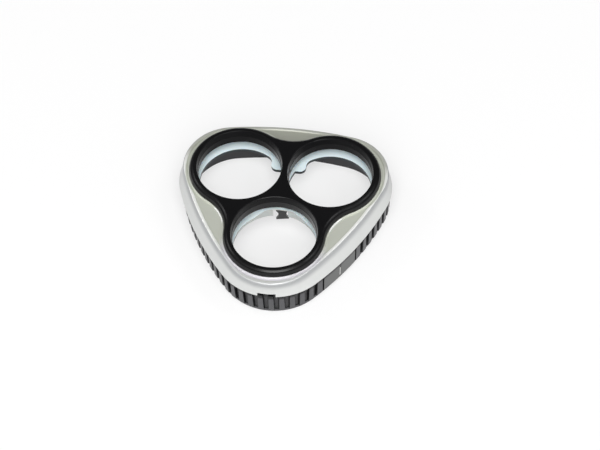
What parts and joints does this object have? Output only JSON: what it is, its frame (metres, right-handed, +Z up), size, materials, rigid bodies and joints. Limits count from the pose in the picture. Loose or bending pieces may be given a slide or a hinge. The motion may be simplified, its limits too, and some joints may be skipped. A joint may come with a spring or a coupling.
{
  "type": "shaver head holder",
  "caption": "Rounded-triangular shaver head holder: silver flared cover, black ring bezel with round guard openings, fluted skirt, inner retaining frame and a turning centre lock.",
  "frame": {"origin": "on the plane of the skirt's foot, on the axis midway between the heads", "axes": "+Z up towards the heads' faces, -Y towards the front corner, +X to the right"},
  "size_m": [0.0592, 0.0568, 0.0149],
  "materials": {
    "cover_silver": "satin metallised",
    "bezel_black": "gloss",
    "skirt_black": "fine satin",
    "frame_pale_blue": "satin",
    "lock_black": "satin"
  },
  "bodies": {
    "holder": {"top_cover": "cover_silver", "ring_bezel": "bezel_black", "base_skirt": "skirt_black", "retaining_frame": "frame_pale_blue"},
    "lock": {"centre_lock": "lock_black"}
  },
  "joints": [
    {"name": "lock_turn", "type": "hinge", "parent": "holder", "child": "lock", "pos_m": [0, 0, 0.007], "axis": [0, 0, -1], "range_deg": [0, 90]}
  ]
}
